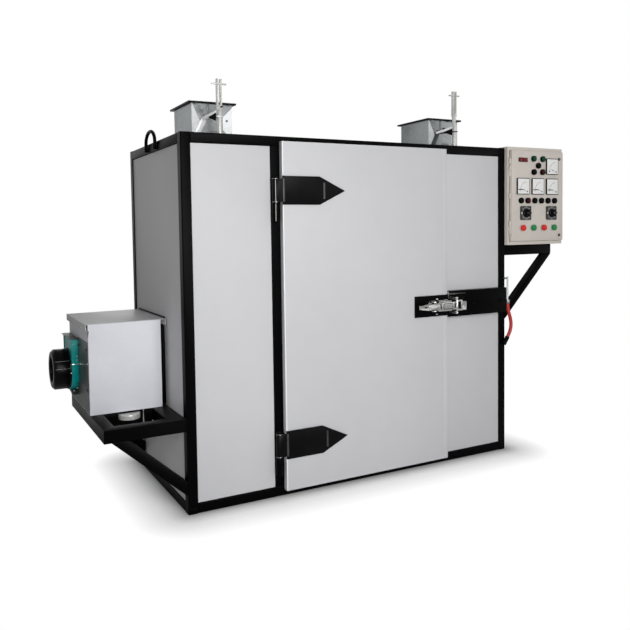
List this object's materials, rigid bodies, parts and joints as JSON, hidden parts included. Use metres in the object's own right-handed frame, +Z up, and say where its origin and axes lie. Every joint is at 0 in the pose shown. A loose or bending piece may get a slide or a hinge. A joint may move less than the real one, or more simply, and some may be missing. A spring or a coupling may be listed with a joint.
{
  "type": "industrial oven",
  "caption": "Floor-standing industrial oven: black tube frame, insulated grey panels, hinged door with toggle latch, side burner on a shelf, roof ducts and a side control box.",
  "frame": {"origin": "on the floor, under the middle of the cabinet, on the underside of the base's cross member", "axes": "+Z up, -Y towards the front with the door, +X towards the control box"},
  "size_m": [2.9569, 1, 2.137],
  "materials": {
    "frame_black": "satin black paint",
    "panel_grey": "light grey satin coat",
    "galvanised": "bright galvanised sheet",
    "lining_steel": "plain steel sheet",
    "zinc_cast": "bright zinc casting",
    "box_beige": "beige-grey textured powder coat",
    "teal": "teal enamel",
    "gloss_black": "gloss black",
    "button_red": "gloss red",
    "button_green": "gloss green",
    "hose_red": "ribbed red hose"
  },
  "bodies": {
    "oven": {"frame_post_front_left": "frame_black", "frame_post_rear_left": "frame_black", "frame_post_front_right": "frame_black", "frame_post_rear_right": "frame_black", "frame_beam_left_bottom": "frame_black", "frame_beam_left_top": "frame_black", "frame_beam_right_bottom": "frame_black", "frame_beam_right_top": "frame_black", "frame_beam_front_bottom": "frame_black", "frame_beam_front_top": "frame_black", "frame_beam_rear_bottom": "frame_black", "frame_beam_rear_top": "frame_black", "frame_post_hinge": "frame_black", "frame_post_latch": "frame_black", "frame_cross_member": "frame_black", "hinge_lug_upper": "frame_black", "hinge_lug_lower": "frame_black", "latch_keeper": "frame_black", "control_arm": "frame_black", "control_brace": "frame_black", "burner_shelf": "frame_black", "burner_brace_front": "frame_black", "burner_brace_rear": "frame_black", "lifting_eye_left": "frame_black", "lifting_eye_right": "frame_black", "hose_fitting": "frame_black", "wall_left": "panel_grey", "wall_right": "panel_grey", "wall_rear": "panel_grey", "front_panel_left": "panel_grey", "front_panel_right": "panel_grey", "roof_panel": "panel_grey", "burner_box": "panel_grey", "burner_box_lid": "panel_grey", "duct_left": "galvanised", "duct_right": "galvanised", "rod_guide_left": "galvanised", "rod_guide_right": "galvanised", "conduit": "galvanised", "floor_panel": "lining_steel", "latch_catch": "zinc_cast", "control_box": "box_beige", "burner_housing": "teal", "burner_air_inlet": "gloss_black", "hose": "hose_red"},
    "door": {"door_leaf": "panel_grey", "hinge_strap_upper": "frame_black", "hinge_strap_lower": "frame_black", "latch_plate": "frame_black"},
    "lever": {"latch_lever": "zinc_cast"},
    "bail": {"latch_bail": "zinc_cast"},
    "panel_door": {"control_door": "box_beige"},
    "knob_1": {"switch_knob_1": "gloss_black"},
    "knob_2": {"switch_knob_2": "gloss_black"},
    "button_1": {"push_button_1": "button_red"},
    "button_2": {"push_button_2": "button_green"},
    "button_3": {"push_button_3": "button_red"},
    "button_4": {"push_button_4": "button_green"},
    "rod_left": {"damper_rod_left": "galvanised"},
    "rod_right": {"damper_rod_right": "galvanised"}
  },
  "joints": [
    {"name": "door_hinge", "type": "hinge", "parent": "oven", "child": "door", "pos_m": [-0.528, -0.471, 0.9], "axis": [0, 0, -1], "range_deg": [0, 160]},
    {"name": "latch_lever_hinge", "type": "hinge", "parent": "door", "child": "lever", "pos_m": [0.422, -0.528, 0.905], "axis": [0, 0, 1], "range_deg": [0, 100]},
    {"name": "latch_bail_hinge", "type": "hinge", "parent": "lever", "child": "bail", "pos_m": [0.416, -0.542, 0.905], "axis": [0, 0, 1], "range_deg": [-100, 0]},
    {"name": "panel_door_hinge", "type": "hinge", "parent": "oven", "child": "panel_door", "pos_m": [1.0088, -0.4805, 1.5175], "axis": [0, 0, -1], "range_deg": [0, 120]},
    {"name": "switch_1_turn", "type": "hinge", "parent": "panel_door", "child": "knob_1", "pos_m": [1.1213, -0.4978, 1.416], "axis": [0, -1, 0], "range_deg": [0, 90]},
    {"name": "switch_2_turn", "type": "hinge", "parent": "panel_door", "child": "knob_2", "pos_m": [1.3343, -0.4978, 1.416], "axis": [0, -1, 0], "range_deg": [0, 90]},
    {"name": "button_1_press", "type": "slide", "parent": "panel_door", "child": "button_1", "axis": [0, 1, 0], "range_m": [0, 0.004], "stiffness_N_per_m": 400},
    {"name": "button_2_press", "type": "slide", "parent": "panel_door", "child": "button_2", "axis": [0, 1, 0], "range_m": [0, 0.004], "stiffness_N_per_m": 400},
    {"name": "button_3_press", "type": "slide", "parent": "panel_door", "child": "button_3", "axis": [0, 1, 0], "range_m": [0, 0.004], "stiffness_N_per_m": 400},
    {"name": "button_4_press", "type": "slide", "parent": "panel_door", "child": "button_4", "axis": [0, 1, 0], "range_m": [0, 0.004], "stiffness_N_per_m": 400},
    {"name": "rod_left_slide", "type": "slide", "parent": "oven", "child": "rod_left", "axis": [0, 0, 1], "range_m": [0, 0.1]},
    {"name": "rod_right_slide", "type": "slide", "parent": "oven", "child": "rod_right", "axis": [0, 0, 1], "range_m": [-0.05, 0.05]}
  ],
  "couplings": [
    {"joint": "latch_bail_hinge", "follows": "latch_lever_hinge", "ratio": -1}
  ]
}
